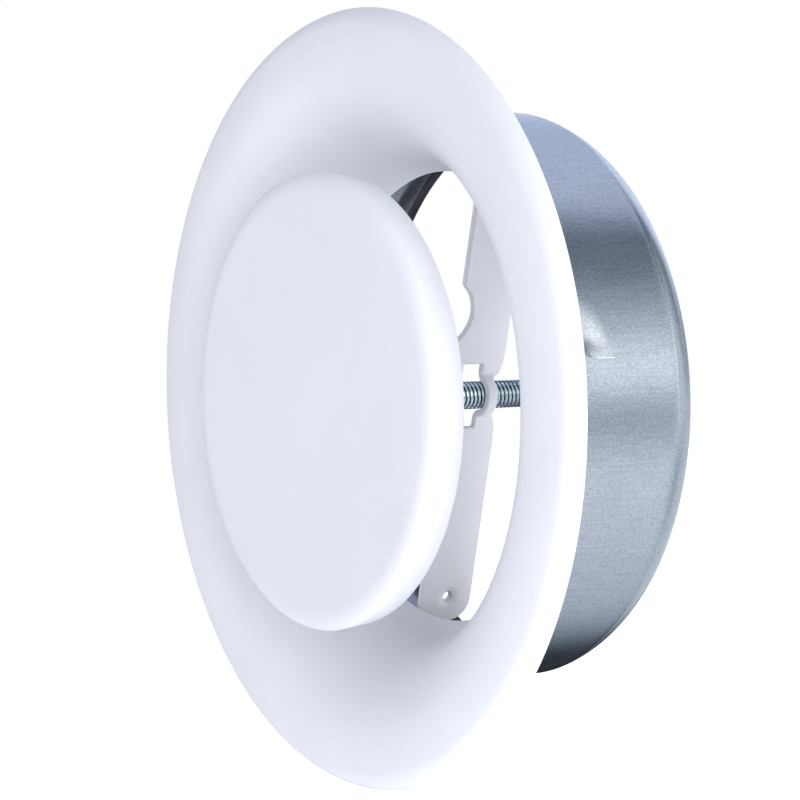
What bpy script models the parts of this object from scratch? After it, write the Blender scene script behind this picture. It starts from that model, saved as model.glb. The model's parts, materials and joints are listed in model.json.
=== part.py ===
"""Ceiling air diffuser: a disc air valve in its galvanised mounting collar. Metres, +Z up.

The wall or ceiling is the plane y = 0, the room is on the -Y side and the duct on the +Y side.
Every section below is given in millimetres as (radius, height), the height measured from the wall
into the room. An empty on the duct axis turns those heights towards -Y.
"""

import math

import bmesh
import bpy
from mathutils import Vector

MM = 0.001

# Diffuser ring: pressed sheet from the rim over the crown and down the bell to the throat.
RING_SHEET = 1.0
RIM_RADIUS = 82.0
RIM_ROUNDING = 5.3
RIM_CENTRE_DEPTH = 1.6
RIM_BREAK = 12.0
CROWN_RADIUS = 71.0
THROAT_RADIUS = 48.1
THROAT_DEPTH = 22.3
BELL_TURN = 68.0

# Foam gasket in the hollow behind the crown.
GASKET_INNER = 73.2
GASKET_OUTER = 78.0

# Disc: a shallow cup with its open side to the duct.
DISC_SHEET = 1.0
DISC_FRONT = 12.3
DISC_FLAT = 43.5
DISC_RADIUS = 47.8
DISC_SHOULDER = 2.2
DISC_HEM_RADIUS = 47.1
DISC_HEM = 4.3

# Hub: a dished plate welded behind the disc holds the head of the spindle.
HUB_SHEET = 1.2
HUB_PATH = ((19.0, 10.95), (14.5, 10.95), (10.0, 6.9), (3.3, 6.9))
HEAD_FLATS = 10.0
HEAD_TOP = 11.0
HEAD_BASE = 7.2

# M6 spindle, drawn as a plain rod a little under the thread's size.
SPINDLE_RADIUS = 2.95
SPINDLE_END = -52.9
GROOVE = (-49.4, -50.6)
GROOVE_RADIUS = 2.4

# Crossbar: a steel strip on edge behind the throat, its middle slit into two loops.
BAR_LEAN = 14.0
BAR_SHEET = 1.5
BAR_FRONT = 22.9
BAR_REAR = 36.2
BAR_CORNER = 52.0
EAR_REACH = 59.3
EAR_REAR = 29.0
NOTCH_CENTRE = (18.6, 18.6)
NOTCH_RADIUS = 7.4
LOOP_START = 7.1
LOOP_RADIUS = 3.95
LOOP_FILLET = 1.8
FRONT_BAND = (22.9, 25.7)
REAR_BAND = (30.2, 36.0)
REAR_BAND_TRIM = 33.6
HOLE_REACH = 46.3
HOLE_DEPTH = 30.0
HOLE_RADIUS = 1.1

# Mounting collar: flange on the wall, sleeve in the duct, rear edge rolled in.
COLLAR_SHEET = 0.7
COLLAR_RADIUS = 60.9
COLLAR_FLANGE = 72.0
COLLAR_FLARE = 4.3
LIP_RADIUS = 6.0
LIP_TURN = 55.0
LIP_DEPTH = 38.09
RAMP_ANGLES = (10.6, 190.6)
RAMP_DEPTH = 1.8
RAMP_FRONT = 14.0
RAMP_REAR = 22.35
SCREW_ANGLES = (90.0, 210.0, 330.0)
SCREW_CIRCLE = 68.6
SCREW_HOLE = 2.25


def clear_scene():
    for old in list(bpy.data.objects):
        bpy.data.objects.remove(old, do_unlink=True)


def new_collection(name, helper=False):
    made = bpy.data.collections.new(name)
    bpy.context.scene.collection.children.link(made)
    made.hide_render = helper
    return made


def material(name, colour, metallic, roughness):
    made = bpy.data.materials.new(name)
    made.use_nodes = True
    shader = made.node_tree.nodes["Principled BSDF"]
    shader.inputs["Base Color"].default_value = (*colour, 1.0)
    shader.inputs["Metallic"].default_value = metallic
    shader.inputs["Roughness"].default_value = roughness
    return made


def arc(centre, radius, start, end, count):
    """Points on an arc. Angles in degrees, clockwise from straight up."""
    turns = [math.radians(start + (end - start) * i / count) for i in range(count + 1)]
    return [(centre[0] + radius * math.sin(a), centre[1] + radius * math.cos(a)) for a in turns]


def offset(path, distance):
    """The path moved to its left, with mitred corners."""
    moved = []
    for i, point in enumerate(path):
        here = Vector(point)
        ahead = Vector(path[min(i + 1, len(path) - 1)]) - here
        behind = here - Vector(path[max(i - 1, 0)])
        ahead = ahead if ahead.length else behind
        behind = behind if behind.length else ahead
        ahead.normalize()
        behind.normalize()
        along = (ahead + behind).normalized()
        reach = distance / along.dot(ahead)
        moved.append((point[0] - along.y * reach, point[1] + along.x * reach))
    return moved


def sheet(face, thickness):
    """Closed section of sheet metal. The metal lies on the left of the face's path."""
    return face + offset(face, thickness)[::-1]


def place(name, mesh, look):
    made = bpy.data.objects.new(name, mesh)
    mesh.materials.append(look)
    parts.objects.link(made)
    made.parent = duct_axis
    return made


def clockwise(section):
    ring = section + section[:1]
    area = sum(a[0] * b[1] - b[0] * a[1] for a, b in zip(ring, ring[1:]))
    return section if area < 0 else section[::-1]


def turned(name, section, steps, look, closed=True):
    """A section turned about the duct axis. An open one starts and ends on the axis."""
    if closed:
        section = clockwise(section)
    count = len(section)
    edges = [(i, (i + 1) % count) for i in range(count if closed else count - 1)]
    mesh = bpy.data.meshes.new(name)
    mesh.from_pydata([(r * MM, 0.0, z * MM) for r, z in section], edges, [])
    made = place(name, mesh, look)
    screw = made.modifiers.new("turn", "SCREW")
    screw.steps = steps
    screw.render_steps = steps
    screw.use_merge_vertices = True
    screw.merge_threshold = 1e-5
    screw.use_smooth_shade = True
    return made


def prism(name, sides, radius, low, high, owner):
    """A prism or cylinder on the duct axis, as a helper for a Boolean."""
    mesh = bpy.data.meshes.new(name)
    shape = bmesh.new()
    made = bmesh.ops.create_cone(
        shape,
        cap_ends=True,
        segments=sides,
        radius1=radius * MM,
        radius2=radius * MM,
        depth=(high - low) * MM,
    )
    bmesh.ops.translate(shape, verts=made["verts"], vec=(0, 0, (low + high) / 2 * MM))
    shape.to_mesh(mesh)
    shape.free()
    helper = bpy.data.objects.new(name, mesh)
    owner.objects.link(helper)
    helper.parent = duct_axis
    helper.hide_render = owner is cutters
    helper.display_type = "WIRE" if owner is cutters else "TEXTURED"
    return helper


def boolean(target, helper, operation):
    cut = target.modifiers.new(helper.name, "BOOLEAN")
    cut.operation = operation
    cut.solver = "EXACT"
    cut.object = helper


def make_ring():
    tilt = math.degrees(math.acos(RIM_CENTRE_DEPTH / RIM_ROUNDING))
    centre = RIM_RADIUS - RIM_ROUNDING * math.sin(math.radians(tilt))
    slope_radius = (centre - CROWN_RADIUS) / math.sin(math.radians(RIM_BREAK)) + RIM_ROUNDING
    drop = (slope_radius - RIM_ROUNDING) * math.cos(math.radians(RIM_BREAK))
    crown = -RIM_CENTRE_DEPTH - drop + slope_radius
    face = arc((centre, -RIM_CENTRE_DEPTH), RIM_ROUNDING, tilt, RIM_BREAK, 5)
    face += arc((CROWN_RADIUS, crown - slope_radius), slope_radius, RIM_BREAK, 0.0, 2)[1:]
    turn = math.radians(BELL_TURN)
    across = (CROWN_RADIUS - THROAT_RADIUS) / math.sin(turn)
    down = (THROAT_DEPTH + crown) / (1.0 - math.cos(turn))
    for i in range(1, 10):
        at = turn * i / 9
        face.append((CROWN_RADIUS - across * math.sin(at), crown - down * (1 - math.cos(at))))
    back = offset(face, RING_SHEET)
    back[0] = (RIM_RADIUS - RING_SHEET / math.sin(math.radians(tilt)), 0.0)
    return turned("diffuser_ring", face + back[::-1], 64, white)


def make_disc():
    face = [(DISC_HEM_RADIUS, DISC_HEM)]
    for i in range(6):
        at = math.radians(90 * i / 5)
        out = DISC_FLAT + (DISC_RADIUS - DISC_FLAT) * math.cos(at)
        face.append((out, DISC_FRONT - DISC_SHOULDER * (1 - math.sin(at))))
    face.append((0.0, DISC_FRONT))
    back = offset(face, DISC_SHEET)
    return turned("disc_shell", face[::-1] + back, 56, white, closed=False)


def make_spindle():
    low, high = GROOVE[1], GROOVE[0]
    section = [(0.0, HEAD_TOP - 0.6), (SPINDLE_RADIUS, HEAD_TOP - 0.6)]
    section += [(SPINDLE_RADIUS, high), (GROOVE_RADIUS, high)]
    section += [(GROOVE_RADIUS, low), (SPINDLE_RADIUS, low)]
    section += [(SPINDLE_RADIUS, SPINDLE_END + 0.6), (SPINDLE_RADIUS - 0.6, SPINDLE_END)]
    section += [(0.0, SPINDLE_END)]
    rod = turned("spindle", section, 24, zinc, closed=False)
    corner = HEAD_FLATS / math.sqrt(3.0)
    boolean(rod, prism("spindle_head", 6, corner, HEAD_BASE, HEAD_TOP, cutters), "UNION")


def make_hub():
    turned("hub_plate", sheet(list(HUB_PATH), HUB_SHEET), 32, zinc)
    turned("hub_washer", [(3.3, 5.4), (6.2, 5.4), (6.2, 4.2), (3.3, 4.2)], 24, zinc)
    nut = prism("hub_nut", 6, HEAD_FLATS / math.sqrt(3.0), -1.1, 3.9, parts)
    nut.data.materials.append(zinc)
    boolean(nut, prism("hub_nut_bore", 24, 3.25, -3.0, 6.0, cutters), "DIFFERENCE")


def make_clip():
    clip = turned("end_clip", [(2.65, -49.65), (5.2, -49.65), (5.2, -50.35), (2.65, -50.35)], 32, zinc)
    mesh = bpy.data.meshes.new("end_clip_slot")
    shape = bmesh.new()
    bmesh.ops.create_cube(shape, size=1.0)
    bmesh.ops.scale(shape, verts=shape.verts, vec=(7 * MM, 4.2 * MM, 3 * MM))
    bmesh.ops.translate(shape, verts=shape.verts, vec=(-3.5 * MM, 0, -50 * MM))
    shape.to_mesh(mesh)
    shape.free()
    slot = bpy.data.objects.new("end_clip_slot", mesh)
    cutters.objects.link(slot)
    slot.parent = duct_axis
    slot.hide_render = True
    slot.display_type = "WIRE"
    boolean(clip, slot, "DIFFERENCE")


def bar_point(along, across, depth):
    lean = math.radians(BAR_LEAN)
    x = along * math.sin(lean) + across * math.cos(lean)
    y = along * math.cos(lean) - across * math.sin(lean)
    return Vector((x, y, -depth)) * MM


def arm_outline():
    """Outline of an arm beyond the loops, as (reach, depth), from its front inner corner round."""
    half = math.sqrt(NOTCH_RADIUS**2 - (BAR_FRONT - NOTCH_CENTRE[1]) ** 2)
    swing = math.degrees(math.asin(half / NOTCH_RADIUS))
    notch = arc(NOTCH_CENTRE, NOTCH_RADIUS, -swing, swing, 8)
    corner = [(BAR_CORNER + 0.6, EAR_REAR), (BAR_CORNER, 31.5), (50.7, 34.4), (48.4, 35.7)]
    ends = [(EAR_REACH, BAR_FRONT), (EAR_REACH, EAR_REAR)] + corner
    return notch + ends + [(46.0, BAR_REAR), (10.0, BAR_REAR)]


def loop_path():
    """Half of a loop round the spindle, as (along, across), from its foot to its top."""
    reach = math.sqrt(LOOP_RADIUS**2 + 2 * LOOP_RADIUS * LOOP_FILLET)
    turn = math.atan2(LOOP_FILLET, reach)
    path = []
    for i in range(4):
        b = (math.pi / 2 - turn) * i / 3
        path.append((reach - LOOP_FILLET * math.sin(b), LOOP_FILLET - LOOP_FILLET * math.cos(b)))
    for i in range(1, 6):
        a = turn + (math.pi / 2 - turn) * i / 5
        path.append((LOOP_RADIUS * math.cos(a), LOOP_RADIUS * math.sin(a)))
    return path


def make_crossbar():
    shape = bmesh.new()
    feet = {}
    for side in (1, -1):
        depths = (FRONT_BAND[0], FRONT_BAND[1], REAR_BAND[0], REAR_BAND[1])
        foot = [shape.verts.new(bar_point(side * LOOP_START, 0, depth)) for depth in depths]
        outline = [shape.verts.new(bar_point(side * t, 0, depth)) for t, depth in arm_outline()]
        shape.faces.new([foot[0]] + outline + [foot[3], foot[2], foot[1]])
        feet[side] = foot
    half = loop_path()
    path = half + [(-t, n) for t, n in half[-2::-1]]
    for first, bulge, band in ((0, -1, FRONT_BAND), (2, 1, REAR_BAND)):
        before = feet[1][first : first + 2]
        for t, n in path:
            rear = band[1]
            if first == 2:
                rise = (abs(t) - 3.5) / (LOOP_START - 3.5)
                rear = REAR_BAND_TRIM + (band[1] - REAR_BAND_TRIM) * max(0.0, rise)
            here = [shape.verts.new(bar_point(t, bulge * n, depth)) for depth in (band[0], rear)]
            shape.faces.new([before[0], here[0], here[1], before[1]])
            before = here
        last = feet[-1][first : first + 2]
        shape.faces.new([before[0], last[0], last[1], before[1]])
    bmesh.ops.recalc_face_normals(shape, faces=shape.faces)
    mesh = bpy.data.meshes.new("crossbar")
    shape.to_mesh(mesh)
    shape.free()
    bar = place("crossbar", mesh, white)
    solid = bar.modifiers.new("thickness", "SOLIDIFY")
    solid.thickness = BAR_SHEET * MM
    solid.offset = 0.0
    solid.use_even_offset = True
    for side, name in ((1, "crossbar_hole_upper"), (-1, "crossbar_hole_lower")):
        hole = prism(name, 16, HOLE_RADIUS, -3.0, 3.0, cutters)
        hole.rotation_euler = (math.pi / 2, 0, math.radians(90 - BAR_LEAN))
        hole.location = bar_point(side * HOLE_REACH, 0, HOLE_DEPTH)
        boolean(bar, hole, "DIFFERENCE")


def ramp_inset(angle, depth):
    """How far the sleeve is pressed inwards at this angle and depth by a bayonet ramp."""
    if not RAMP_FRONT < depth < RAMP_REAR:
        return 0.0
    run = 5.0 + (20.7 - depth) / 0.915
    return max(RAMP_DEPTH * (1 - ((angle - start) % 360) / run) for start in RAMP_ANGLES)


def make_collar():
    wall = [(COLLAR_RADIUS, -depth) for depth in (22.5, 22.2, 20.5, 18.5, 16.5, 14.5, 13.5, 9.0)]
    centre = (COLLAR_RADIUS - LIP_RADIUS, -LIP_DEPTH)
    face = arc(centre, LIP_RADIUS, 90 + LIP_TURN, 90, 5) + wall
    bend = (COLLAR_RADIUS + COLLAR_FLARE, -COLLAR_FLARE)
    face += arc(bend, COLLAR_FLARE, -90, 0, 4) + [(COLLAR_FLANGE, 0.0)]
    section = sheet(face, COLLAR_SHEET)
    angles = {round(step * 6.0, 3) for step in range(60)}
    for start in RAMP_ANGLES:
        angles |= {round(start + extra, 3) for extra in (-0.6, 0, 2, 4, 6.5, 9)}
    rings = []
    shape = bmesh.new()
    for angle in sorted(angles):
        turn = math.radians(angle)
        ring = []
        for radius, height in section:
            reach = (radius - max(0.0, ramp_inset(angle, -height))) * MM
            ring.append(shape.verts.new((reach * math.cos(turn), reach * math.sin(turn), height * MM)))
        rings.append(ring)
    count = len(section)
    for i, ring in enumerate(rings):
        after = rings[(i + 1) % len(rings)]
        for j in range(count):
            k = (j + 1) % count
            shape.faces.new([ring[j], after[j], after[k], ring[k]]).smooth = True
    bmesh.ops.recalc_face_normals(shape, faces=shape.faces)
    mesh = bpy.data.meshes.new("mounting_collar")
    shape.to_mesh(mesh)
    shape.free()
    collar = place("mounting_collar", mesh, galvanised)
    for angle in SCREW_ANGLES:
        hole = prism(f"screw_hole_{angle:.0f}", 20, SCREW_HOLE, -3.0, 3.0, cutters)
        turn = math.radians(angle)
        hole.location = Vector((math.cos(turn), math.sin(turn), 0)) * SCREW_CIRCLE * MM
        boolean(collar, hole, "DIFFERENCE")


clear_scene()
parts = new_collection("ceiling_air_diffuser")
cutters = new_collection("cutters", helper=True)
duct_axis = bpy.data.objects.new("valve_axis", None)
parts.objects.link(duct_axis)
duct_axis.rotation_euler = (math.pi / 2, 0, 0)

white = material("white_coated_steel", (0.80, 0.81, 0.83), 0.0, 0.38)
galvanised = material("galvanised_steel", (0.62, 0.64, 0.68), 1.0, 0.38)
zinc = material("zinc_plated_steel", (0.66, 0.67, 0.68), 1.0, 0.30)
foam = material("grey_foam", (0.13, 0.13, 0.14), 0.0, 0.90)

make_ring()
turned(
    "foam_gasket",
    [(GASKET_INNER, 0.0), (GASKET_INNER, 3.0), (GASKET_OUTER - 1.0, 2.55), (GASKET_OUTER, 2.2), (GASKET_OUTER, 0.0)],
    48,
    foam,
)
make_disc()
make_spindle()
make_hub()
make_clip()
make_crossbar()
make_collar()
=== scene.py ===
"""Looks for the ceiling air diffuser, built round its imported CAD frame. Metres, +Z up.

The duct axis is Y, with the room on the -Y side and the duct on the +Y side. Sections are given in
millimetres as (radius, height), the height measured from the wall into the room.
"""

import json
import math

import bmesh
import bpy
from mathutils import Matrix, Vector

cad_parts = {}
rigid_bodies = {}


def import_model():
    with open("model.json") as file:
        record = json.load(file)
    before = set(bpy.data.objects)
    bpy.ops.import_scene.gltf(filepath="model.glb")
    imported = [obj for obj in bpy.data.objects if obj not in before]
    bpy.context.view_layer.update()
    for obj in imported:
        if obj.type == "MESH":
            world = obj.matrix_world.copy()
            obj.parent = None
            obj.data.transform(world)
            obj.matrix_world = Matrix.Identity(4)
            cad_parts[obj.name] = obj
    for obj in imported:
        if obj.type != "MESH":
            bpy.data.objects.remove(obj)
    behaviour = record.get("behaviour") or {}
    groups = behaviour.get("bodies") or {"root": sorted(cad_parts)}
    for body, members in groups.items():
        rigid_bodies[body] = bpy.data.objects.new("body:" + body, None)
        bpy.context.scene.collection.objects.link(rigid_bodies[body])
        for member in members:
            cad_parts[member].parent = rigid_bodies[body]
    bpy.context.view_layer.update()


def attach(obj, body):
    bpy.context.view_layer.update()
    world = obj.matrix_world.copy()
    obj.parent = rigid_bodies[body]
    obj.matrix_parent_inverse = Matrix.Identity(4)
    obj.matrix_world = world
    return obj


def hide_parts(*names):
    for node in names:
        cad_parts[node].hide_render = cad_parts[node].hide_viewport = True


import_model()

MM = 0.001

# Millimetres, and degrees for angles. Heights are measured into the room and depths into the duct. The
# sizes repeat the CAD's, but for the collar's lip and ramps, the thread and the rise of the bridge's
# rear edge, which are finer here.
RING_SHEET = 1.0
RING_STEPS = 288
RIM_RADIUS = 82.0
RIM_ROUNDING = 5.3
RIM_CENTRE_DEPTH = 1.6
RIM_BREAK = 12.0
RIM_STEPS = 11
RIM_EDGE = 0.28
RIM_BACK_EDGE = 0.2
CROWN_RADIUS = 71.0
CROWN_STEPS = 8
THROAT_RADIUS = 48.1
THROAT_DEPTH = 22.3
THROAT_EDGE = 0.25
BELL_TURN = 68.0
BELL_STEPS = 40

DISC_SHEET = 1.0
DISC_STEPS = 240
DISC_FRONT = 12.3
DISC_FLAT = 43.5
DISC_FACE_RINGS = (36.0, 24.0, 12.0, 0.0)
DISC_RADIUS = 47.8
DISC_SHOULDER = 2.2
DISC_SHOULDER_STEPS = 18
DISC_HEM_RADIUS = 47.1
DISC_HEM_FLARE = (0.25, 2.0)  # out and up from the hem to the side wall
DISC_HEM_EDGE = 0.3
DISC_HEM = 4.3

GASKET_STEPS = 200
GASKET_INNER = 73.2
GASKET_OUTER = 78.0
GASKET_THICKNESS = 3.0
GASKET_SHOULDER = (77.0, 2.55)
GASKET_SIDE = 2.2
GASKET_EDGE = 0.4
GASKET_FACE_EDGE = 0.5

HUB_SHEET = 1.2
HUB_STEPS = 96
HUB_FACE = ((19.0, 10.95), (14.5, 10.95), (10.0, 6.9), (3.3, 6.9))
HUB_BEND = 1.6
HUB_EDGE = 0.2
WASHER_STEPS = 64
WASHER_RADII = (3.3, 6.2)
WASHER_FACES = (5.4, 4.2)
WASHER_EDGE = 0.15
HEX_STEPS = 72
HEX_CHAMFER = (0.55, 0.35)  # inwards at a corner, and along the axis
HEAD_FLATS = 10.0
HEAD_TOP = 11.0
HEAD_BASE = 7.2
NUT_FACES = (-1.1, 3.9)
NUT_BORE = 3.25
NUT_CHAMFER = 0.5

THREAD_PITCH = 1.0
THREAD_STEPS = 40
THREAD_CREST = 3.0
THREAD_ROOT = 2.777
THREAD_FLAT = 0.16  # this and the flank are shares of a pitch
THREAD_FLANK = 0.34
THREAD_FULLNESS = 0.8  # a flank is straight at 1 and bulges below it
# Shares of a pitch at which the thread has a row of vertices.
THREAD_KNOTS = (0.0, 0.08, 0.16, 0.33, 0.50, 0.58, 0.66, 0.83)
THREAD_TOP = 6.0
THREAD_GAP = 0.02  # between the head's shank and the thread
SPARE_TURNS = 4
# The thread's roots get painted shade, from this share of the thread's depth down to the root.
ROOT_SHADE_FROM = 0.35  # share of the thread's depth
SPINDLE_END = -52.9
END_RADIUS = 2.05
GROOVE = (-49.4, -50.6)
GROOVE_RADIUS = 2.4
MERGE_METRES = 2e-6

CLIP_STEPS = 96
CLIP_GAP = 52.0
CLIP_FACES = (-49.65, -50.35)
CLIP_RADIUS = 5.2
CLIP_EDGE = 0.1
CLIP_TIP_ROUNDING = 0.5
CLIP_TIP_PARTS = 18  # the rounding of a tip takes up one part of this many
LUG_RADIUS = 2.65
LUG_DEPTH = 1.15
LUG_WIDTH = 1.8  # above 1 the lugs grip over a width and not at a point

BAR_LEAN = math.radians(14.0)
BAR_SHEET = 1.5
BAR_EDGE = 0.5
BAR_FRONT = 22.9
BAR_REAR = 36.2
NOTCH_CENTRE = (18.6, 18.6)
NOTCH_RADIUS = 7.4
NOTCH_STEPS = 20
EAR_REACH = 59.3
EAR_REAR = 29.0
EAR_FRONT_CORNER = 0.6
EAR_REAR_CORNER = 1.0
EAR_ROOT = ((53.2, EAR_REAR), (52.4, 29.4), (52.05, 30.2))
SHOULDER_CENTRE = (46.9, 31.1)
SHOULDER_RADIUS = 5.12
SHOULDER_STEPS = 12
HEEL = ((12.0, BAR_REAR), (9.4, 36.12))
LOOP_START = 7.1
LOOP_RADIUS = 3.95
LOOP_STEPS = 14
LOOP_FILLET = 1.8
FILLET_STEPS = 8
FRONT_BAND = (22.9, 25.7)
REAR_BAND = (30.35, 35.9)
REAR_BAND_TRIM = 33.0
# Two rises of the rear band's edge: share, and from where to where along the bridge.
REAR_BAND_RISES = ((0.62, 3.3, 4.9), (0.38, 3.6, LOOP_START))
HOLE_REACH = 46.3
HOLE_DEPTH = 30.0
HOLE_STEPS = 36
# Radius and press of the dimple round the hole, from its rim inwards.
HOLE_DIMPLE = ((2.9, 0.0), (2.45, 0.05), (2.0, 0.17), (1.55, 0.31), (1.2, 0.38), (0.95, 0.40))

COLLAR_SHEET = 0.7
COLLAR_EDGE = 0.18
COLLAR_RADIUS = 60.9
COLLAR_FLANGE = 72.0
COLLAR_FLARE = 4.3
FLARE_STEPS = 12
SLEEVE_SHARP = 12.0
WALL_STEP = 2.0
WALL_ROWS = (36, 34, 31, 28, 25)
WALL_FRONT = 7.0
LIP_RADIUS = 12.39
LIP_CREASE = 14.0
LIP_END = 40.2
LIP_DEPTH = 38.0
LIP_STEPS = 14
# Inset and depth of a faint groove beside the lip's crease.
CREASE_GROOVE = ((0.04, 37.8), (0.03, 37.65), (0.0, 37.45))
# Painted shade on the collar's inside faces: how much dark is mixed in on the wall, and more past this
# depth near the rolled lip.
INNER_WALL_SHADE = 0.5
INNER_LIP_SHADE = 0.88
INNER_LIP_DEPTH = 41.0
# A ramp starts at its sheared end and fades out towards larger angles. Its crest runs aslant.
RAMP_ANGLES = (10.6, 190.6)
RAMP_DEPTH = 1.15
RAMP_LENGTH = 12.5
RAMP_LEVEL = 1.5  # angle from the end at which the ramp starts to fade
RAMP_FRONT = 8.0
RAMP_CREST = 17.0
RAMP_REAR = 23.2
RAMP_ROW = 0.4
RAMP_ROWS = 38
RAMP_STEP = 0.25
RAMP_STEPS = 60
RAMP_SLANT = 0.36  # millimetres a degree
RAMP_SLOPES = (6.0, 6.2)  # in front of the crest and behind it
RAMP_END_SHARE = 0.5  # of the full depth, at the sheared end
RAMP_END = (0.3, 4.5)  # angles over which the depth becomes full
CUT_ANGLE = -0.25
CUT_WIDTH = 0.05  # this and the fold are angles too
FOLD_WIDTH = 3.2  # where the end is folded and not cut
FOLD_DEPTHS = (15.8, 17.4)
# Where a painted glint whitens the sleeve: a thin strip just below each ramp's start, between these
# depths.
PAINTED_GLINT_ANGLES = (0.25, 0.5)  # below a ramp's start
PAINTED_GLINT_DEPTHS = (18.4, 22.8)
SCREW_ANGLES = (90.0, 210.0, 330.0)
SCREW_CIRCLE = 68.6
SCREW_HOLE = 2.25
SCREW_STEPS = 48

# A colour mix node has sockets for numbers, vectors and colours under the same names, so these are
# the places of its colours.
MIX_A, MIX_B, MIX_RESULT = 6, 7, 2


# ---- materials ----


def blank_material(name):
    made = bpy.data.materials.new(name)
    made.use_nodes = True
    tree = made.node_tree
    return made, tree, tree.nodes["Principled BSDF"]


def texture(tree, kind, scale, stretch=(1, 1, 1), **settings):
    """A procedural texture on object coordinates, stretched along an axis if asked."""
    where = tree.nodes.new("ShaderNodeTexCoord")
    mapping = tree.nodes.new("ShaderNodeMapping")
    mapping.inputs["Scale"].default_value = stretch
    tree.links.new(where.outputs["Object"], mapping.inputs["Vector"])
    made = tree.nodes.new(kind)
    made.inputs["Scale"].default_value = scale
    for key, value in settings.items():
        made.inputs[key].default_value = value
    tree.links.new(mapping.outputs["Vector"], made.inputs["Vector"])
    return made


def tones(tree, source, low, high, dark, light):
    """Colours between dark and light as the source goes from low to high."""
    made = tree.nodes.new("ShaderNodeValToRGB")
    made.color_ramp.elements[0].position = low
    made.color_ramp.elements[0].color = (*dark, 1.0)
    made.color_ramp.elements[1].position = high
    made.color_ramp.elements[1].color = (*light, 1.0)
    tree.links.new(source, made.inputs["Fac"])
    return made.outputs["Color"]


def spread(tree, source, low, high):
    """The source's 0.3 to 0.7 spread over low to high."""
    made = tree.nodes.new("ShaderNodeMapRange")
    made.inputs["From Min"].default_value = 0.3
    made.inputs["From Max"].default_value = 0.7
    made.inputs["To Min"].default_value = low
    made.inputs["To Max"].default_value = high
    tree.links.new(source, made.inputs["Value"])
    return made.outputs["Result"]


def tinted(tree, colour, name, tint):
    """The colour mixed with a tint, as far as the mesh's attribute of this name says."""
    amount = tree.nodes.new("ShaderNodeAttribute")
    amount.attribute_name = name
    made = tree.nodes.new("ShaderNodeMix")
    made.data_type = "RGBA"
    tree.links.new(amount.outputs["Fac"], made.inputs["Factor"])
    tree.links.new(colour, made.inputs[MIX_A])
    made.inputs[MIX_B].default_value = (*tint, 1.0)
    return made.outputs[MIX_RESULT]


def bump(tree, source, strength, distance, under=None):
    made = tree.nodes.new("ShaderNodeBump")
    made.inputs["Strength"].default_value = strength
    made.inputs["Distance"].default_value = distance
    tree.links.new(source, made.inputs["Height"])
    if under is not None:
        tree.links.new(under, made.inputs["Normal"])
    return made.outputs["Normal"]


def powder_coat():
    """Satin white powder coat: a faint orange peel, and very slight changes of tone."""
    made, tree, shader = blank_material("white_powder_coat")
    tone = texture(tree, "ShaderNodeTexNoise", 28.0, Detail=3.0)
    dark, light = (0.795, 0.805, 0.838), (0.825, 0.835, 0.865)
    colour = tones(tree, tone.outputs["Fac"], 0.35, 0.65, dark, light)
    tree.links.new(colour, shader.inputs["Base Color"])
    peel = texture(tree, "ShaderNodeTexNoise", 620.0, Detail=2.0)
    grain = texture(tree, "ShaderNodeTexNoise", 2600.0, Detail=2.0)
    tree.links.new(spread(tree, grain.outputs["Fac"], 0.34, 0.46), shader.inputs["Roughness"])
    waves = bump(tree, peel.outputs["Fac"], 0.10, 0.00012)
    normal = bump(tree, grain.outputs["Fac"], 0.06, 0.00004, waves)
    tree.links.new(normal, shader.inputs["Normal"])
    shader.inputs["Specular IOR Level"].default_value = 0.45
    return made


def galvanised():
    """Drawn galvanised sheet: grain and faint draw lines, with painted shade on the inside faces and a
    painted glint below each ramp's cut.
    """
    made, tree, shader = blank_material("galvanised_sheet")
    shader.inputs["Metallic"].default_value = 1.0
    grain = texture(tree, "ShaderNodeTexNoise", 2300.0, (1, 0.7, 1), Detail=3.0, Roughness=0.6)
    lines = texture(tree, "ShaderNodeTexNoise", 3600.0, (1, 0.03, 1), Detail=2.0)
    cloud = texture(tree, "ShaderNodeTexNoise", 90.0, (1, 0.5, 1), Detail=3.0)
    mixed = tree.nodes.new("ShaderNodeMix")
    mixed.inputs["Factor"].default_value = 0.30
    tree.links.new(grain.outputs["Fac"], mixed.inputs["A"])
    tree.links.new(lines.outputs["Fac"], mixed.inputs["B"])
    dark, light = (0.49, 0.515, 0.56), (0.74, 0.765, 0.80)
    colour = tones(tree, mixed.outputs["Result"], 0.34, 0.66, dark, light)
    # Painted shade darkens the inside faces, and a painted glint whitens a thin strip below each
    # ramp's cut.
    colour = tinted(tree, colour, "painted_shade", (0.03, 0.035, 0.04))
    colour = tinted(tree, colour, "painted_glint", (1.0, 1.0, 1.0))
    tree.links.new(colour, shader.inputs["Base Color"])
    tree.links.new(spread(tree, cloud.outputs["Fac"], 0.19, 0.26), shader.inputs["Roughness"])
    drawn = bump(tree, lines.outputs["Fac"], 0.06, 0.00002)
    normal = bump(tree, grain.outputs["Fac"], 0.50, 0.00005, drawn)
    tree.links.new(normal, shader.inputs["Normal"])
    return made


def zinc_plate():
    """Bright zinc plate with its bluish tone and a little haze, and painted shade at a thread's root.
    """
    made, tree, shader = blank_material("bright_zinc_plate")
    shader.inputs["Metallic"].default_value = 1.0
    haze = texture(tree, "ShaderNodeTexNoise", 420.0, Detail=4.0)
    dark, light = (0.66, 0.78, 0.84), (0.84, 0.92, 0.95)
    colour = tones(tree, haze.outputs["Fac"], 0.35, 0.65, dark, light)
    # Painted shade: the thread's roots are darkened.
    colour = tinted(tree, colour, "root", (0.02, 0.035, 0.045))
    tree.links.new(colour, shader.inputs["Base Color"])
    tree.links.new(spread(tree, haze.outputs["Fac"], 0.07, 0.13), shader.inputs["Roughness"])
    fine = texture(tree, "ShaderNodeTexNoise", 3200.0, Detail=2.0)
    tree.links.new(bump(tree, fine.outputs["Fac"], 0.10, 0.00002), shader.inputs["Normal"])
    return made


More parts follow.
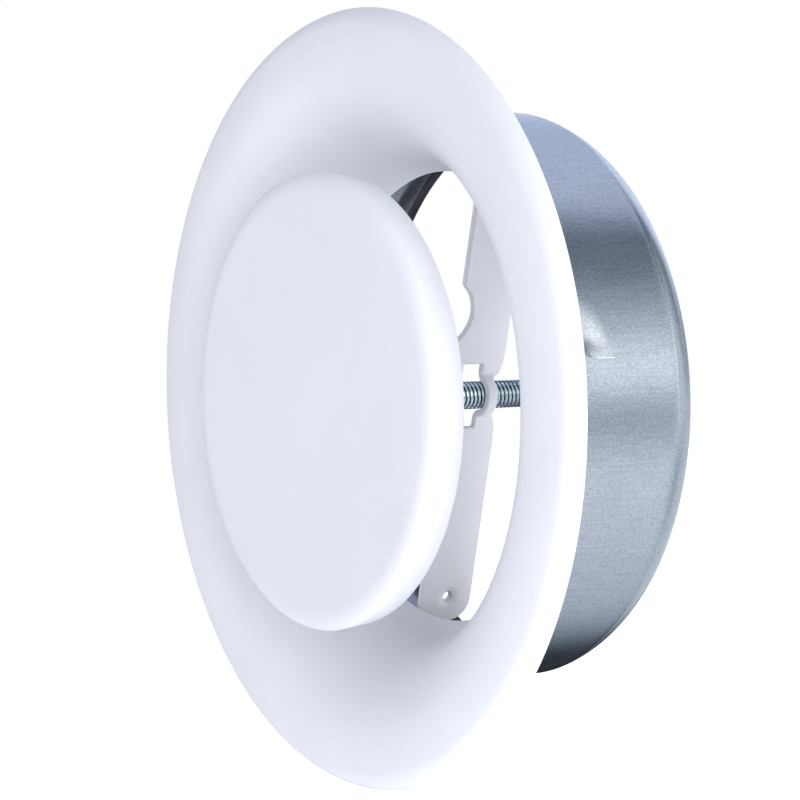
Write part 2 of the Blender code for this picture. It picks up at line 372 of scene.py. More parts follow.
def foam():
    """Closed-cell foam: dark grey with open cells at its cut faces."""
    made, tree, shader = blank_material("grey_foam_cells")
    cells = texture(tree, "ShaderNodeTexVoronoi", 1300.0, Randomness=1.0)
    dark, light = (0.045, 0.045, 0.05), (0.16, 0.16, 0.17)
    colour = tones(tree, cells.outputs["Distance"], 0.1, 0.7, dark, light)
    tree.links.new(colour, shader.inputs["Base Color"])
    tree.links.new(bump(tree, cells.outputs["Distance"], 0.8, 0.0003), shader.inputs["Normal"])
    shader.inputs["Roughness"].default_value = 0.95
    shader.inputs["Specular IOR Level"].default_value = 0.2
    return made


# ---- mesh tools ----


def smooth(value, low, high):
    """0 below low, 1 above high, and an S-curve between."""
    share = min(1.0, max(0.0, (value - low) / (high - low)))
    return share * share * (3 - 2 * share)


def arc(centre, radius, start, end, count):
    """Points on an arc. Angles in degrees, clockwise from straight up."""
    turns = [math.radians(start + (end - start) * i / count) for i in range(count + 1)]
    return [(centre[0] + radius * math.sin(a), centre[1] + radius * math.cos(a)) for a in turns]


def offset(path, distance):
    """The path moved to its left, with mitred corners."""
    moved = []
    for i, point in enumerate(path):
        here = Vector(point)
        ahead = Vector(path[min(i + 1, len(path) - 1)]) - here
        behind = here - Vector(path[max(i - 1, 0)])
        ahead = ahead if ahead.length else behind
        behind = behind if behind.length else ahead
        ahead.normalize()
        behind.normalize()
        along = (ahead + behind).normalized()
        reach = distance / along.dot(ahead)
        moved.append((point[0] - along.y * reach, point[1] + along.x * reach))
    return moved


def rounded(section, corners, closed=True, count=4):
    """The section with the corners of these indices rounded: {index: radius}."""
    made = []
    last = len(section) - 1
    for i, point in enumerate(section):
        radius = corners.get(i if i in corners else i - len(section), 0)
        if not radius or (not closed and i in (0, last)):
            made.append(point)
            continue
        here = Vector(point)
        start = here + (Vector(section[i - 1]) - here).normalized() * radius
        end = here + (Vector(section[(i + 1) % len(section)]) - here).normalized() * radius
        for k in range(count + 1):
            t = k / count
            bend = start * (1 - t) ** 2 + here * 2 * t * (1 - t) + end * t**2
            made.append((bend.x, bend.y))
    return made


def sheet_section(face, thickness, edge):
    """Closed section of sheet metal on the left of its face, with eased edges."""
    section = face + offset(face, thickness)[::-1]
    count = len(face)
    return rounded(section, {0: edge, count - 1: edge, count: edge, 2 * count - 1: edge})


def add_piece(name, shape, look, body, node, sharp=32):
    """Makes an object of the bmesh, which rides on a body and stands for a CAD node."""
    bmesh.ops.recalc_face_normals(shape, faces=shape.faces)
    mesh = bpy.data.meshes.new(name)
    shape.to_mesh(mesh)
    shape.free()
    made = bpy.data.objects.new(name, mesh)
    bpy.context.scene.collection.objects.link(made)
    mesh.materials.append(look)
    for polygon in mesh.polygons:
        polygon.use_smooth = True
    if sharp:
        mesh.set_sharp_from_angle(angle=math.radians(sharp))
    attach(made, body)
    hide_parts(node)
    return made


def turn_point(radius, height, angle):
    return (radius * math.cos(angle) * MM, -height * MM, radius * math.sin(angle) * MM)


def loft(rows, wrap):
    """Joins rows of points into quads. A row of one point closes an end."""
    shape = bmesh.new()
    made = [[shape.verts.new(point) for point in row] for row in rows]
    pairs = list(zip(made, made[1:]))
    if wrap:
        pairs.append((made[-1], made[0]))
    for row, after in pairs:
        count = max(len(row), len(after))
        for j in range(count):
            k = (j + 1) % count
            if len(row) == 1:
                shape.faces.new([row[0], after[k], after[j]])
            elif len(after) == 1:
                shape.faces.new([row[j], row[k], after[0]])
            else:
                shape.faces.new([row[j], row[k], after[k], after[j]])
    return shape


def lathe(section, steps, closed=True):
    """The section turned about the duct axis. An open one starts and ends on the axis."""
    turns = [2 * math.pi * i / steps for i in range(steps)]
    rows = []
    for radius, height in section:
        if radius < 1e-6:
            rows.append([(0.0, -height * MM, 0.0)])
        else:
            rows.append([turn_point(radius, height, a) for a in turns])
    return loft(rows, closed)


def hexagon(flats, low, high):
    """Rows of a hexagonal prism on the duct axis, with its corners chamfered as a nut's are."""
    inward, along = HEX_CHAMFER
    reach = flats / math.sqrt(3.0)
    rows = []
    for height, shrink in ((low, inward), (low + along, 0.0), (high - along, 0.0), (high, inward)):
        row = []
        for i in range(HEX_STEPS):
            angle = 2 * math.pi * i / HEX_STEPS
            off = (angle + math.pi / 6) % (math.pi / 3) - math.pi / 6
            flat = flats / 2 / math.cos(off)
            row.append(turn_point(min(flat, reach - shrink), height, angle + math.pi / 6))
        rows.append(row)
    return rows


# ---- pieces ----


def build_ring(look):
    tilt = math.degrees(math.acos(RIM_CENTRE_DEPTH / RIM_ROUNDING))
    centre = RIM_RADIUS - RIM_ROUNDING * math.sin(math.radians(tilt))
    slope = (centre - CROWN_RADIUS) / math.sin(math.radians(RIM_BREAK)) + RIM_ROUNDING
    drop = (slope - RIM_ROUNDING) * math.cos(math.radians(RIM_BREAK))
    crown = -RIM_CENTRE_DEPTH - drop + slope
    face = arc((centre, -RIM_CENTRE_DEPTH), RIM_ROUNDING, tilt, RIM_BREAK, RIM_STEPS)
    face += arc((CROWN_RADIUS, crown - slope), slope, RIM_BREAK, 0.0, CROWN_STEPS)[1:]
    turn = math.radians(BELL_TURN)
    across = (CROWN_RADIUS - THROAT_RADIUS) / math.sin(turn)
    down = (THROAT_DEPTH + crown) / (1.0 - math.cos(turn))
    for i in range(1, BELL_STEPS + 1):
        at = turn * i / BELL_STEPS
        face.append((CROWN_RADIUS - across * math.sin(at), crown - down * (1 - math.cos(at))))
    back = offset(face, RING_SHEET)
    back[0] = (RIM_RADIUS - RING_SHEET / math.sin(math.radians(tilt)), 0.0)
    section = face + back[::-1]
    count = len(face)
    edges = {0: RIM_EDGE, count - 1: THROAT_EDGE, count: THROAT_EDGE, 2 * count - 1: RIM_BACK_EDGE}
    shape = lathe(rounded(section, edges), RING_STEPS)
    add_piece("ring_pressing", shape, look, "valve_body", "diffuser_ring")


def build_disc(look):
    flare, rise = DISC_HEM_FLARE
    face = [(DISC_HEM_RADIUS, DISC_HEM), (DISC_HEM_RADIUS + flare, DISC_HEM + rise)]
    for i in range(DISC_SHOULDER_STEPS + 1):
        at = math.radians(90 * i / DISC_SHOULDER_STEPS)
        out = DISC_FLAT + (DISC_RADIUS - DISC_FLAT) * math.cos(at)
        face.append((out, DISC_FRONT - DISC_SHOULDER * (1 - math.sin(at))))
    face += [(radius, DISC_FRONT) for radius in DISC_FACE_RINGS]
    back = offset(face, DISC_SHEET)
    section = face[::-1] + back
    section[-1] = (0.0, DISC_FRONT - DISC_SHEET)
    hem = len(face) - 1
    section = rounded(section, {hem: DISC_HEM_EDGE, hem + 1: DISC_HEM_EDGE}, closed=False)
    shape = lathe(section, DISC_STEPS, closed=False)
    add_piece("disc_pressing", shape, look, "valve_disc", "disc_shell")


def build_gasket(look):
    section = [(GASKET_INNER, 0.0), (GASKET_INNER, GASKET_THICKNESS), GASKET_SHOULDER]
    section += [(GASKET_OUTER, GASKET_SIDE), (GASKET_OUTER, 0.0)]
    edges = {i: GASKET_EDGE for i in range(5)} | {1: GASKET_FACE_EDGE}
    shape = lathe(rounded(section, edges), GASKET_STEPS)
    made = add_piece("gasket_strip", shape, look, "valve_body", "foam_gasket", sharp=60)


def thread_radius(part):
    """Radius over one pitch of the thread: flat root, full flank, flat crest, full flank."""
    depth = THREAD_CREST - THREAD_ROOT
    part %= 1.0
    if part < THREAD_FLAT:
        return THREAD_ROOT
    if part < THREAD_FLAT + THREAD_FLANK:
        return THREAD_ROOT + depth * ((part - THREAD_FLAT) / THREAD_FLANK) ** THREAD_FULLNESS
    if part < THREAD_FLAT + THREAD_FLANK + THREAD_FLAT:
        return THREAD_CREST
    return THREAD_ROOT + depth * ((1.0 - part) / THREAD_FLANK) ** THREAD_FULLNESS


def spindle_head():
    """Hexagonal head with the plain shank between it and the thread."""
    rows = hexagon(HEAD_FLATS, HEAD_BASE, HEAD_TOP)[::-1]
    rows.insert(0, [(0.0, -HEAD_TOP * MM, 0.0)])
    turns = [2 * math.pi * j / HEX_STEPS for j in range(HEX_STEPS)]
    for height in (HEAD_BASE, THREAD_TOP + THREAD_GAP):
        rows.append([turn_point(THREAD_CREST, height, a) for a in turns])
    rows.append([(0.0, -(THREAD_TOP + THREAD_GAP) * MM, 0.0)])
    return loft(rows, False)


def spindle_rows():
    """Rows of the thread's surface. Each climbs a pitch as it goes round, to an earlier row's start.

    The spare turns past the two ends are flattened onto the end planes.
    """
    turns = int((THREAD_TOP - SPINDLE_END) / THREAD_PITCH) + SPARE_TURNS
    rows = []
    for turn in range(turns):
        for knot in THREAD_KNOTS:
            base = THREAD_TOP + THREAD_PITCH - THREAD_PITCH * (turn + knot)
            row = []
            for j in range(THREAD_STEPS):
                height = base + THREAD_PITCH * j / THREAD_STEPS
                height = max(min(height, THREAD_TOP), SPINDLE_END)
                radius = thread_radius((base + THREAD_PITCH) / THREAD_PITCH)
                radius = min(radius, END_RADIUS + min(height - SPINDLE_END, THREAD_TOP - height))
                if GROOVE[1] < height < GROOVE[0]:
                    radius = GROOVE_RADIUS
                row.append(turn_point(radius, height, 2 * math.pi * j / THREAD_STEPS))
            rows.append(row)
    return rows


def build_spindle(look):
    """Threaded rod with a hexagonal head, and a groove for the clip near its end."""
    shape = bmesh.new()
    made = [[shape.verts.new(point) for point in row] for row in spindle_rows()]
    shift = len(THREAD_KNOTS)
    for i, (row, after) in enumerate(zip(made, made[1:])):
        for j in range(THREAD_STEPS - 1):
            shape.faces.new([row[j], row[j + 1], after[j + 1], after[j]])
        if i >= shift:
            shape.faces.new([row[-1], made[i - shift][0], made[i - shift + 1][0], after[-1]])
    bmesh.ops.remove_doubles(shape, verts=shape.verts, dist=MERGE_METRES)
    bmesh.ops.dissolve_degenerate(shape, edges=shape.edges, dist=MERGE_METRES)
    loose = [edge for edge in shape.edges if edge.is_boundary]
    bmesh.ops.holes_fill(shape, edges=loose, sides=0)
    head = spindle_head()
    bmesh.ops.recalc_face_normals(head, faces=head.faces)
    spare = bpy.data.meshes.new("spindle_head")
    head.to_mesh(spare)
    head.free()
    shape.from_mesh(spare)
    bpy.data.meshes.remove(spare)
    made = add_piece("threaded_spindle", shape, look, "valve_disc", "spindle", sharp=26)
    # Painted shade in the thread's roots, growing from part way down each flank to the root.
    root = made.data.attributes.new("root", "FLOAT", "POINT")
    for vertex in made.data.vertices:
        x, y, z = vertex.co
        if -THREAD_TOP * MM < y < -GROOVE[0] * MM:
            depth = (THREAD_CREST - math.hypot(x, z) / MM) / (THREAD_CREST - THREAD_ROOT)
            root.data[vertex.index].value = smooth(depth, ROOT_SHADE_FROM, 1.0)


def build_hub(look):
    """Dished hub plate with pressed rounds, and the nut and washer behind it."""
    face = rounded(HUB_FACE, {1: HUB_BEND, 2: HUB_BEND}, closed=False, count=6)
    shape = lathe(sheet_section(face, HUB_SHEET, HUB_EDGE), HUB_STEPS)
    add_piece("hub_pressing", shape, look, "valve_disc", "hub_plate")
    (bore, rim), (front, rear) = WASHER_RADII, WASHER_FACES
    washer = [(bore, front), (rim, front), (rim, rear), (bore, rear)]
    shape = lathe(rounded(washer, {i: WASHER_EDGE for i in range(4)}), WASHER_STEPS)
    add_piece("plain_washer", shape, look, "valve_disc", "hub_washer")
    low, high = NUT_FACES
    rows = hexagon(HEAD_FLATS, low, high)
    mouth = NUT_BORE + NUT_CHAMFER
    bore = [(mouth, high), (NUT_BORE, high - NUT_CHAMFER), (NUT_BORE, low + NUT_CHAMFER), (mouth, low)]
    turns = [2 * math.pi * j / HEX_STEPS + math.pi / 6 for j in range(HEX_STEPS)]
    rows += [[turn_point(radius, height, a) for a in turns] for radius, height in bore]
    add_piece("hexagon_nut", loft(rows, True), look, "valve_disc", "hub_nut", sharp=25)


def build_clip(look):
    """E-shaped retaining clip: three lugs grip the groove and one side is open."""
    gap = math.radians(CLIP_GAP)
    top, low = CLIP_FACES
    rows = []
    for i in range(CLIP_STEPS + 1):
        angle = math.pi + gap / 2 + (2 * math.pi - gap) * i / CLIP_STEPS
        lobe = 0.5 + 0.5 * math.cos(3 * (angle - math.pi) - math.pi)
        inner = LUG_RADIUS + LUG_DEPTH * (1 - min(1.0, LUG_WIDTH * lobe))
        end = min(i, CLIP_STEPS - i) / CLIP_STEPS
        outer = CLIP_RADIUS - CLIP_TIP_ROUNDING * max(0.0, 1 - end * CLIP_TIP_PARTS) ** 2
        ring = [(inner, top), (outer - CLIP_EDGE, top), (outer, top - CLIP_EDGE)]
        ring += [(outer, low + CLIP_EDGE), (outer - CLIP_EDGE, low), (inner, low)]
        rows.append([turn_point(radius, height, angle) for radius, height in ring])
    shape = loft(rows, False)
    shape.verts.ensure_lookup_table()
    size = len(rows[0])
    for first in (0, size * CLIP_STEPS):
        shape.faces.new([shape.verts[first + j] for j in range(size)])
    add_piece("retaining_clip", shape, look, "stop_clip", "end_clip", sharp=25)


def bar_point(along, across, depth):
    """A point of the bridge: along it, across its sheet, and its depth in the duct."""
    x = along * math.sin(BAR_LEAN) + across * math.cos(BAR_LEAN)
    z = along * math.cos(BAR_LEAN) - across * math.sin(BAR_LEAN)
    return Vector((x * MM, depth * MM, z * MM))


def arm_outline():
    """Outline of an arm beyond the loops, as (reach, depth), from its front inner corner round."""
    swing = math.degrees(math.acos((BAR_FRONT - NOTCH_CENTRE[1]) / NOTCH_RADIUS))
    outline = arc(NOTCH_CENTRE, NOTCH_RADIUS, -swing, swing, NOTCH_STEPS)
    outline += [(EAR_REACH - EAR_FRONT_CORNER, BAR_FRONT), (EAR_REACH, BAR_FRONT + EAR_FRONT_CORNER)]
    outline += [(EAR_REACH, EAR_REAR - EAR_REAR_CORNER), (EAR_REACH - EAR_REAR_CORNER, EAR_REAR)]
    outline += EAR_ROOT
    outline += arc(SHOULDER_CENTRE, SHOULDER_RADIUS, 90, 0, SHOULDER_STEPS)
    outline += HEEL
    return outline


def loop_path():
    """Half of a loop round the spindle, as (along, across), from its foot to its top."""
    reach = math.sqrt(LOOP_RADIUS**2 + 2 * LOOP_RADIUS * LOOP_FILLET)
    turn = math.atan2(LOOP_FILLET, reach)
    path = []
    for i in range(FILLET_STEPS + 1):
        b = (math.pi / 2 - turn) * i / FILLET_STEPS
        path.append((reach - LOOP_FILLET * math.sin(b), LOOP_FILLET - LOOP_FILLET * math.cos(b)))
    for i in range(1, LOOP_STEPS + 1):
        a = turn + (math.pi / 2 - turn) * i / LOOP_STEPS
        path.append((LOOP_RADIUS * math.cos(a), LOOP_RADIUS * math.sin(a)))
    return path


def build_arm(shape, side):
    """A flat arm with a dimpled hole. Returns its four corners at the loops."""
    depths = FRONT_BAND + REAR_BAND
    foot = [shape.verts.new(bar_point(side * LOOP_START, 0, depth)) for depth in depths]
    outline = [shape.verts.new(bar_point(side * t, 0, depth)) for t, depth in arm_outline()]
    loop = [foot[0]] + outline + [foot[3], foot[2], foot[1]]
    edges = [shape.edges.new((a, b)) for a, b in zip(loop, loop[1:] + loop[:1])]
    rings = []
    for radius, press in HOLE_DIMPLE:
        ring = []
        for i in range(HOLE_STEPS):
            a = 2 * math.pi * i / HOLE_STEPS
            t = HOLE_REACH + radius * math.cos(a)
            depth = HOLE_DEPTH + radius * math.sin(a)
            ring.append(shape.verts.new(bar_point(side * t, -press, depth)))
        rings.append(ring)
    for ring, inner in zip(rings, rings[1:]):
        for i in range(HOLE_STEPS):
            k = (i + 1) % HOLE_STEPS
            shape.faces.new([ring[i], ring[k], inner[k], inner[i]])
    edges += [shape.edges.get((a, b)) for a, b in zip(rings[0], rings[0][1:] + rings[0][:1])]
    bmesh.ops.triangle_fill(shape, use_beauty=True, edges=edges)
    return foot


def build_crossbar(look):
    """The bridge: two arms, joined by bands that pass the spindle on opposite sides."""
    shape = bmesh.new()
    feet = {side: build_arm(shape, side) for side in (1, -1)}
    half = loop_path()
    path = half + [(-t, n) for t, n in half[-2::-1]]
    for first, bulge, band in ((0, -1, FRONT_BAND), (2, 1, REAR_BAND)):
        before = feet[1][first : first + 2]
        for t, n in path:
            rear = band[1]
            if first == 2:
                rise = sum(share * smooth(abs(t), low, high) for share, low, high in REAR_BAND_RISES)
                rear = REAR_BAND_TRIM + (band[1] - REAR_BAND_TRIM) * rise
            here = [shape.verts.new(bar_point(t, bulge * n, depth)) for depth in (band[0], rear)]
            shape.faces.new([before[0], here[0], here[1], before[1]])
            before = here
        last = feet[-1][first : first + 2]
        shape.faces.new([before[0], last[0], last[1], before[1]])
    made = add_piece("crossbar_strip", shape, look, "valve_body", "crossbar", sharp=None)
    solid = made.modifiers.new("thickness", "SOLIDIFY")
    solid.thickness = BAR_SHEET * MM
    solid.offset = 0.0
    solid.use_even_offset = True
    ease = made.modifiers.new("eased_edges", "BEVEL")
    ease.width = BAR_EDGE * MM
    ease.segments = 4
    ease.limit_method = "ANGLE"
    ease.angle_limit = math.radians(50)
    ease.use_clamp_overlap = False
    ease.harden_normals = True


def ramp_inset(angle, depth):
    """How far a bayonet ramp presses the sleeve inwards: cut below, and soft on its other sides."""
    if not RAMP_FRONT < depth < RAMP_REAR:
        return 0.0
    fold = CUT_WIDTH + FOLD_WIDTH * (1 - smooth(depth, *FOLD_DEPTHS))
    most = 0.0
    for start in RAMP_ANGLES:
        past = (angle - start + 180) % 360 - 180
        if CUT_ANGLE < past < RAMP_LENGTH:
            crest = RAMP_CREST - RAMP_SLANT * past
            press = smooth(depth, crest - RAMP_SLOPES[0], crest)
            press *= 1 - smooth(depth, crest, crest + RAMP_SLOPES[1])
            rise = smooth(past, CUT_ANGLE, CUT_ANGLE + fold)
            rise *= 1 - smooth(past, RAMP_LEVEL, RAMP_LENGTH)
            rise *= RAMP_END_SHARE + (1 - RAMP_END_SHARE) * smooth(past, *RAMP_END)
            most = max(most, rise * press)
    return RAMP_DEPTH * most


def sleeve_section():
    """Section of the collar, from its rolled rear lip along the wall to the flange."""
    wall = [(COLLAR_RADIUS - inset, -depth) for inset, depth in CREASE_GROOVE]
    wall += [(COLLAR_RADIUS, -depth) for depth in WALL_ROWS]
    wall += [(COLLAR_RADIUS, RAMP_ROW * i - RAMP_REAR) for i in range(RAMP_ROWS)]
    wall.append((COLLAR_RADIUS, -WALL_FRONT))
    crease = math.radians(LIP_CREASE)
    centre = (
        COLLAR_RADIUS - LIP_RADIUS * math.cos(crease),
        -LIP_DEPTH + LIP_RADIUS * math.sin(crease),
    )
    face = arc(centre, LIP_RADIUS, 90 + LIP_END, 90 + LIP_CREASE, LIP_STEPS) + wall
    bend = (COLLAR_RADIUS + COLLAR_FLARE, -COLLAR_FLARE)
    face += arc(bend, COLLAR_FLARE, -90, 0, FLARE_STEPS) + [(SCREW_CIRCLE, 0.0), (COLLAR_FLANGE, 0.0)]
    return sheet_section(face, COLLAR_SHEET, COLLAR_EDGE)


def sleeve_angles():
    """Angles of the collar's rows: even ones, and finer ones at the ramps."""
    angles = {round(WALL_STEP * i, 2) for i in range(int(360 / WALL_STEP))}
    for start in RAMP_ANGLES:
        first = start + 2 * CUT_ANGLE
        angles |= {round(first + RAMP_STEP * i, 2) for i in range(RAMP_STEPS + 1)}
        angles.add(round(start + CUT_ANGLE + CUT_WIDTH, 2))
    return sorted(angles)


def drill_screw_holes(sleeve):
    """Drills the flange, and leaves the sleeve with a plain mesh and no modifiers."""
    cutters = bpy.data.collections.new("cutters")
    bpy.context.scene.collection.children.link(cutters)
    bore = SCREW_HOLE * MM
    for angle in SCREW_ANGLES:
        drill = bmesh.new()
        bmesh.ops.create_cone(
            drill, cap_ends=True, segments=SCREW_STEPS, radius1=bore, radius2=bore, depth=4 * MM
        )
        mesh = bpy.data.meshes.new("drill")
        drill.to_mesh(mesh)
        drill.free()
        cutter = bpy.data.objects.new("drill", mesh)
        cutters.objects.link(cutter)
        # Half a step's turn keeps the hole's corners off the flange's own rows.
        cutter.rotation_euler = (math.pi / 2, math.pi / SCREW_STEPS, 0)
        cutter.location = turn_point(SCREW_CIRCLE, COLLAR_SHEET / 2, math.radians(angle))
        cut = sleeve.modifiers.new("screw_hole", "BOOLEAN")
        cut.object = cutter
    bpy.context.view_layer.update()
    graph = bpy.context.evaluated_depsgraph_get()
    drilled = bpy.data.meshes.new_from_object(sleeve.evaluated_get(graph))
    sleeve.modifiers.clear()
    sleeve.data = drilled
    drilled.set_sharp_from_angle(angle=math.radians(SLEEVE_SHARP))
    for cutter in list(cutters.objects):
        bpy.data.objects.remove(cutter)
    bpy.data.collections.remove(cutters)


def build_collar(look):
    section = sleeve_section()
    rows = []
    for angle in sleeve_angles():
        row = []
        for radius, height in section:
            reach = radius - ramp_inset(angle, -height)
            row.append(turn_point(reach, height, math.radians(angle)))
        rows.append(row)
    shape = loft(rows, True)
    made = add_piece("collar_sleeve", shape, look, "collar", "mounting_collar", sharp=40)
    drill_screw_holes(made)
    mesh = made.data
    # Painted shade on the sleeve's inside faces, and a painted glint on a thin strip below each ramp's
    # cut.
    for name in ("painted_shade", "painted_glint"):
        mesh.attributes.new(name, "FLOAT", "FACE")
    for face in mesh.polygons:
        x, y, z = face.center
        below = min((start - math.degrees(math.atan2(z, x))) % 360 for start in RAMP_ANGLES)
        if face.normal.x * x + face.normal.z * z < 0:
            shade = INNER_LIP_SHADE if y > INNER_LIP_DEPTH * MM else INNER_WALL_SHADE
            mesh.attributes["painted_shade"].data[face.index].value = shade
        # The strip just below a ramp's start gets the painted glint.
        elif PAINTED_GLINT_ANGLES[0] < below < PAINTED_GLINT_ANGLES[1]:
            if PAINTED_GLINT_DEPTHS[0] * MM < y < PAINTED_GLINT_DEPTHS[1] * MM:
                mesh.attributes["painted_glint"].data[face.index].value = 1.0


# ---- studio ----


def sky_ramp(tree, share, stops):
    """Colours set round the duct axis, as (degrees, colour): 0 along +X, 90 up."""
    made = tree.nodes.new("ShaderNodeValToRGB")
    made.color_ramp.interpolation = "EASE"
    elements = made.color_ramp.elements
    while len(elements) < len(stops):
        elements.new(0.5)
    for element, (degrees, _) in zip(elements, stops):
        element.position = (degrees + 180) / 360
    for element, (_, colour) in zip(elements, stops):
        element.color = (*colour, 1.0)
    tree.links.new(share, made.inputs["Fac"])
    return made.outputs["Color"]


def sky_mix(tree, along, edge, under, over):
    """One sky on the room side of an edge along the duct axis, and the other beyond it."""
    share = tree.nodes.new("ShaderNodeMapRange")
    share.inputs["From Min"].default_value, share.inputs["From Max"].default_value = edge
    tree.links.new(along, share.inputs["Value"])
    made = tree.nodes.new("ShaderNodeMix")
    made.data_type = "RGBA"
    tree.links.new(share.outputs["Result"], made.inputs["Factor"])
    tree.links.new(under, made.inputs[MIX_A])
    tree.links.new(over, made.inputs[MIX_B])
    return made.outputs[MIX_RESULT]


# Softboxes and dark cards that metal reflects, from the room side to the duct's far end. Between two
# skies is an edge: the range of a direction's share along the duct axis in which one gives way.
ROOM_SKY = (
    (-180, (0.30, 0.33, 0.38)),
    (-105, (0.28, 0.32, 0.36)),
    (-85, (0.03, 0.04, 0.05)),
    (-58, (0.03, 0.04, 0.05)),
    (-40, (0.10, 0.16, 0.20)),
    (-18, (0.12, 0.19, 0.24)),
    (-8, (1.60, 1.65, 1.65)),
    (26, (1.60, 1.65, 1.65)),
    (36, (0.04, 0.05, 0.06)),
    (82, (0.04, 0.05, 0.06)),
    (105, (0.42, 0.50, 0.62)),
    (180, (0.30, 0.33, 0.38)),
)
ROOM_EDGE = (0.10, 0.35)
SIDE_SKY = (
    (-180, (1.05, 1.10, 1.15)),
    (-174, (0.80, 0.83, 0.88)),
    (-164, (0.03, 0.033, 0.04)),
    (-130, (0.02, 0.023, 0.03)),
    (-120, (0.06, 0.08, 0.11)),
    (-109, (0.28, 0.33, 0.39)),
    (-97, (0.50, 0.56, 0.66)),
    (-80, (0.62, 0.68, 0.79)),
    (-55, (0.74, 0.80, 0.89)),
    (-33, (0.84, 0.90, 0.97)),
    (-22, (0.76, 0.84, 0.92)),
    (-12, (0.40, 0.47, 0.56)),
    (-3, (0.40, 0.47, 0.56)),
    (6, (0.96, 1.04, 1.14)),
    (16, (1.08, 1.16, 1.22)),
    (27, (0.66, 0.71, 0.79)),
    (38, (0.38, 0.44, 0.51)),
    (55, (0.18, 0.225, 0.28)),
    (68, (0.12, 0.15, 0.19)),
    (76, (0.26, 0.32, 0.43)),
    (82, (0.56, 0.62, 0.80)),
    (95, (0.60, 0.67, 0.86)),
    (130, (0.52, 0.61, 0.80)),
    (145, (0.50, 0.62, 0.86)),
    (156, (0.58, 0.67, 0.87)),
    (166, (0.74, 0.83, 1.00)),
    (180, (1.05, 1.10, 1.15)),
)
DUCT_EDGE = (0.68, 0.78)
DUCT_SKY = (
    (-180, (0.85, 0.92, 1.02)),
    (-124, (0.64, 0.70, 0.78)),
    (-92, (0.64, 0.70, 0.78)),
    (-60, (0.46, 0.52, 0.60)),
    (-40, (0.50, 0.56, 0.64)),
    (-20, (0.74, 0.82, 0.90)),
    (40, (0.74, 0.80, 0.88)),
    (80, (0.36, 0.41, 0.48)),
    (96, (0.14, 0.17, 0.21)),
    (106, (0.15, 0.18, 0.22)),
    (113, (0.32, 0.36, 0.44)),
    (122, (0.83, 0.95, 1.22)),
    (180, (0.85, 0.95, 1.20)),
)
END_EDGE = (0.84, 0.92)
END_SKY = (
    (-180, (0.50, 0.56, 0.64)),
    (-150, (0.66, 0.72, 0.80)),
    (-92, (0.64, 0.70, 0.78)),
    (-60, (0.46, 0.52, 0.60)),
    (-20, (0.72, 0.80, 0.88)),
    (40, (0.70, 0.76, 0.84)),
    (76, (0.40, 0.45, 0.52)),
    (98, (0.16, 0.19, 0.23)),
    (116, (0.16, 0.19, 0.23)),
    (129, (0.38, 0.43, 0.50)),
    (145, (0.66, 0.74, 0.86)),
    (155, (0.56, 0.63, 0.74)),
    (167, (0.18, 0.21, 0.26)),
    (174, (0.34, 0.39, 0.45)),
    (180, (0.50, 0.56, 0.64)),
)
EVEN_LIGHT = (0.665, 0.688, 0.752)

WHITE = (1.0, 1.0, 1.0)
LIGHTS = (
    # name, place, size, power
    ("key", (1.3, -0.05, -0.14), (0.9, 1.3), 17.0),
    ("duct", (0.16, 0.45, -0.06), (0.25, 0.25), 0.65),
)

FLOOR_SIZE = 6.0
FLOOR_HEIGHT = -0.32
FLOOR_GLOW = 0.6

CAMERA_PLACE = (0.50947, -0.31477, 0.03804)
CAMERA_AZIMUTH = math.radians(57.42)
CAMERA_ELEVATION = math.radians(3.64)
CAMERA_LENS = 128.3
CAMERA_SENSOR = 36.0


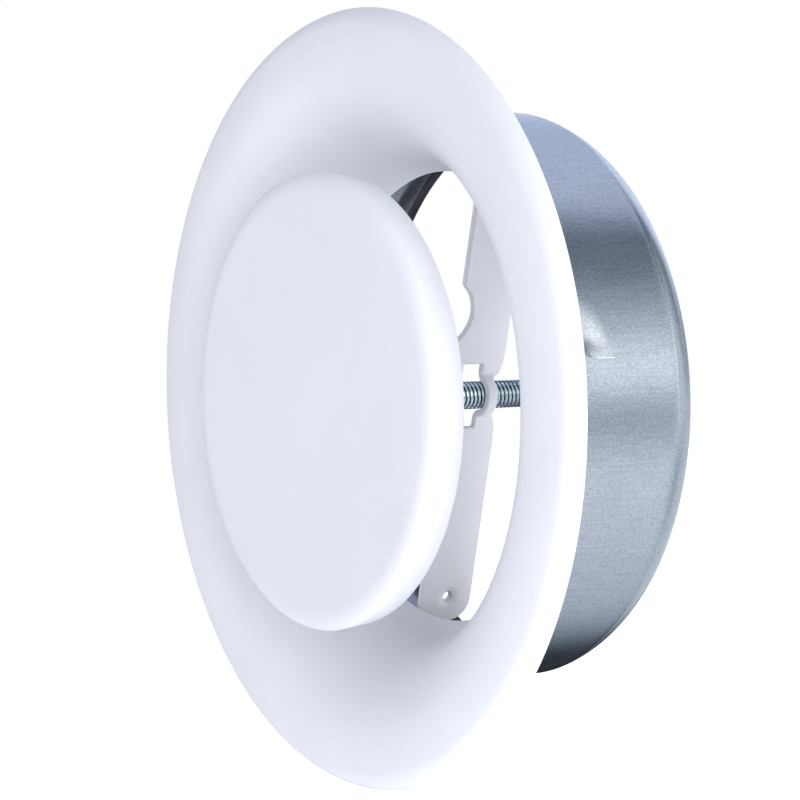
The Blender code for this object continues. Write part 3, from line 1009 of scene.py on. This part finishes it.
def build_world():
    """White for the eye, an even light, and for reflections four skies set round the duct axis."""
    world = bpy.data.worlds.new("studio")
    bpy.context.scene.world = world
    world.use_nodes = True
    tree = world.node_tree
    tree.nodes.clear()
    where = tree.nodes.new("ShaderNodeTexCoord")
    split = tree.nodes.new("ShaderNodeSeparateXYZ")
    tree.links.new(where.outputs["Generated"], split.inputs["Vector"])
    angle = tree.nodes.new("ShaderNodeMath")
    angle.operation = "ARCTAN2"
    tree.links.new(split.outputs["Z"], angle.inputs[0])
    tree.links.new(split.outputs["X"], angle.inputs[1])
    share = tree.nodes.new("ShaderNodeMapRange")
    share.inputs["From Min"].default_value = -math.pi
    share.inputs["From Max"].default_value = math.pi
    tree.links.new(angle.outputs["Value"], share.inputs["Value"])
    skies = (ROOM_SKY, SIDE_SKY, DUCT_SKY, END_SKY)
    room, side, duct, end = (sky_ramp(tree, share.outputs["Result"], stops) for stops in skies)
    along = split.outputs["Y"]
    sky = sky_mix(tree, along, ROOM_EDGE, room, side)
    sky = sky_mix(tree, along, DUCT_EDGE, sky, duct)
    sky = sky_mix(tree, along, END_EDGE, sky, end)
    paths = tree.nodes.new("ShaderNodeLightPath")
    even = tree.nodes.new("ShaderNodeBackground")
    even.inputs["Color"].default_value = (*EVEN_LIGHT, 1.0)
    mirror = tree.nodes.new("ShaderNodeBackground")
    tree.links.new(sky, mirror.inputs["Color"])
    white = tree.nodes.new("ShaderNodeBackground")
    white.inputs["Color"].default_value = (*WHITE, 1.0)
    glossy = tree.nodes.new("ShaderNodeMixShader")
    tree.links.new(paths.outputs["Is Glossy Ray"], glossy.inputs["Fac"])
    tree.links.new(even.outputs["Background"], glossy.inputs[1])
    tree.links.new(mirror.outputs["Background"], glossy.inputs[2])
    seen = tree.nodes.new("ShaderNodeMixShader")
    tree.links.new(paths.outputs["Is Camera Ray"], seen.inputs["Fac"])
    tree.links.new(glossy.outputs["Shader"], seen.inputs[1])
    tree.links.new(white.outputs["Background"], seen.inputs[2])
    out = tree.nodes.new("ShaderNodeOutputWorld")
    tree.links.new(seen.outputs["Shader"], out.inputs["Surface"])


def add_light(name, place, size, power):
    """A softbox aimed at the part. It lights without being seen, in the picture or in reflections."""
    data = bpy.data.lights.new(name, "AREA")
    data.shape = "RECTANGLE"
    data.size, data.size_y = size
    data.energy = power
    data.color = WHITE
    lamp = bpy.data.objects.new(name, data)
    bpy.context.scene.collection.objects.link(lamp)
    lamp.location = place
    lamp.rotation_euler = (-Vector(place)).to_track_quat("-Z", "Y").to_euler()
    lamp.visible_camera = False
    lamp.visible_glossy = False


def build_floor():
    bpy.ops.mesh.primitive_plane_add(size=FLOOR_SIZE, location=(0, 0, FLOOR_HEIGHT))
    floor = bpy.context.object
    floor.name = "pale_floor"
    made, _, shader = blank_material("pale_floor")
    shader.inputs["Base Color"].default_value = (0.86, 0.87, 0.89, 1.0)
    shader.inputs["Roughness"].default_value = 0.9
    shader.inputs["Specular IOR Level"].default_value = 0.0
    shader.inputs["Emission Color"].default_value = (*WHITE, 1.0)
    shader.inputs["Emission Strength"].default_value = FLOOR_GLOW
    floor.data.materials.append(made)
    floor.visible_glossy = False


def build_camera():
    data = bpy.data.cameras.new("camera")
    data.sensor_width = CAMERA_SENSOR
    data.lens = CAMERA_LENS
    data.clip_start = 0.01
    camera = bpy.data.objects.new("camera", data)
    bpy.context.scene.collection.objects.link(camera)
    level = math.cos(CAMERA_ELEVATION)
    x, y = math.sin(CAMERA_AZIMUTH) * level, -math.cos(CAMERA_AZIMUTH) * level
    back = Vector((x, y, math.sin(CAMERA_ELEVATION)))
    camera.location = CAMERA_PLACE
    camera.rotation_euler = back.to_track_quat("Z", "Y").to_euler()
    bpy.context.scene.camera = camera


white = powder_coat()
zinc = zinc_plate()
build_ring(white)
build_disc(white)
build_crossbar(white)
build_collar(galvanised())
build_gasket(foam())
build_spindle(zinc)
build_hub(zinc)
build_clip(zinc)

build_world()
build_floor()
build_camera()
for light in LIGHTS:
    add_light(*light)
bpy.context.scene.view_settings.view_transform = "Standard"
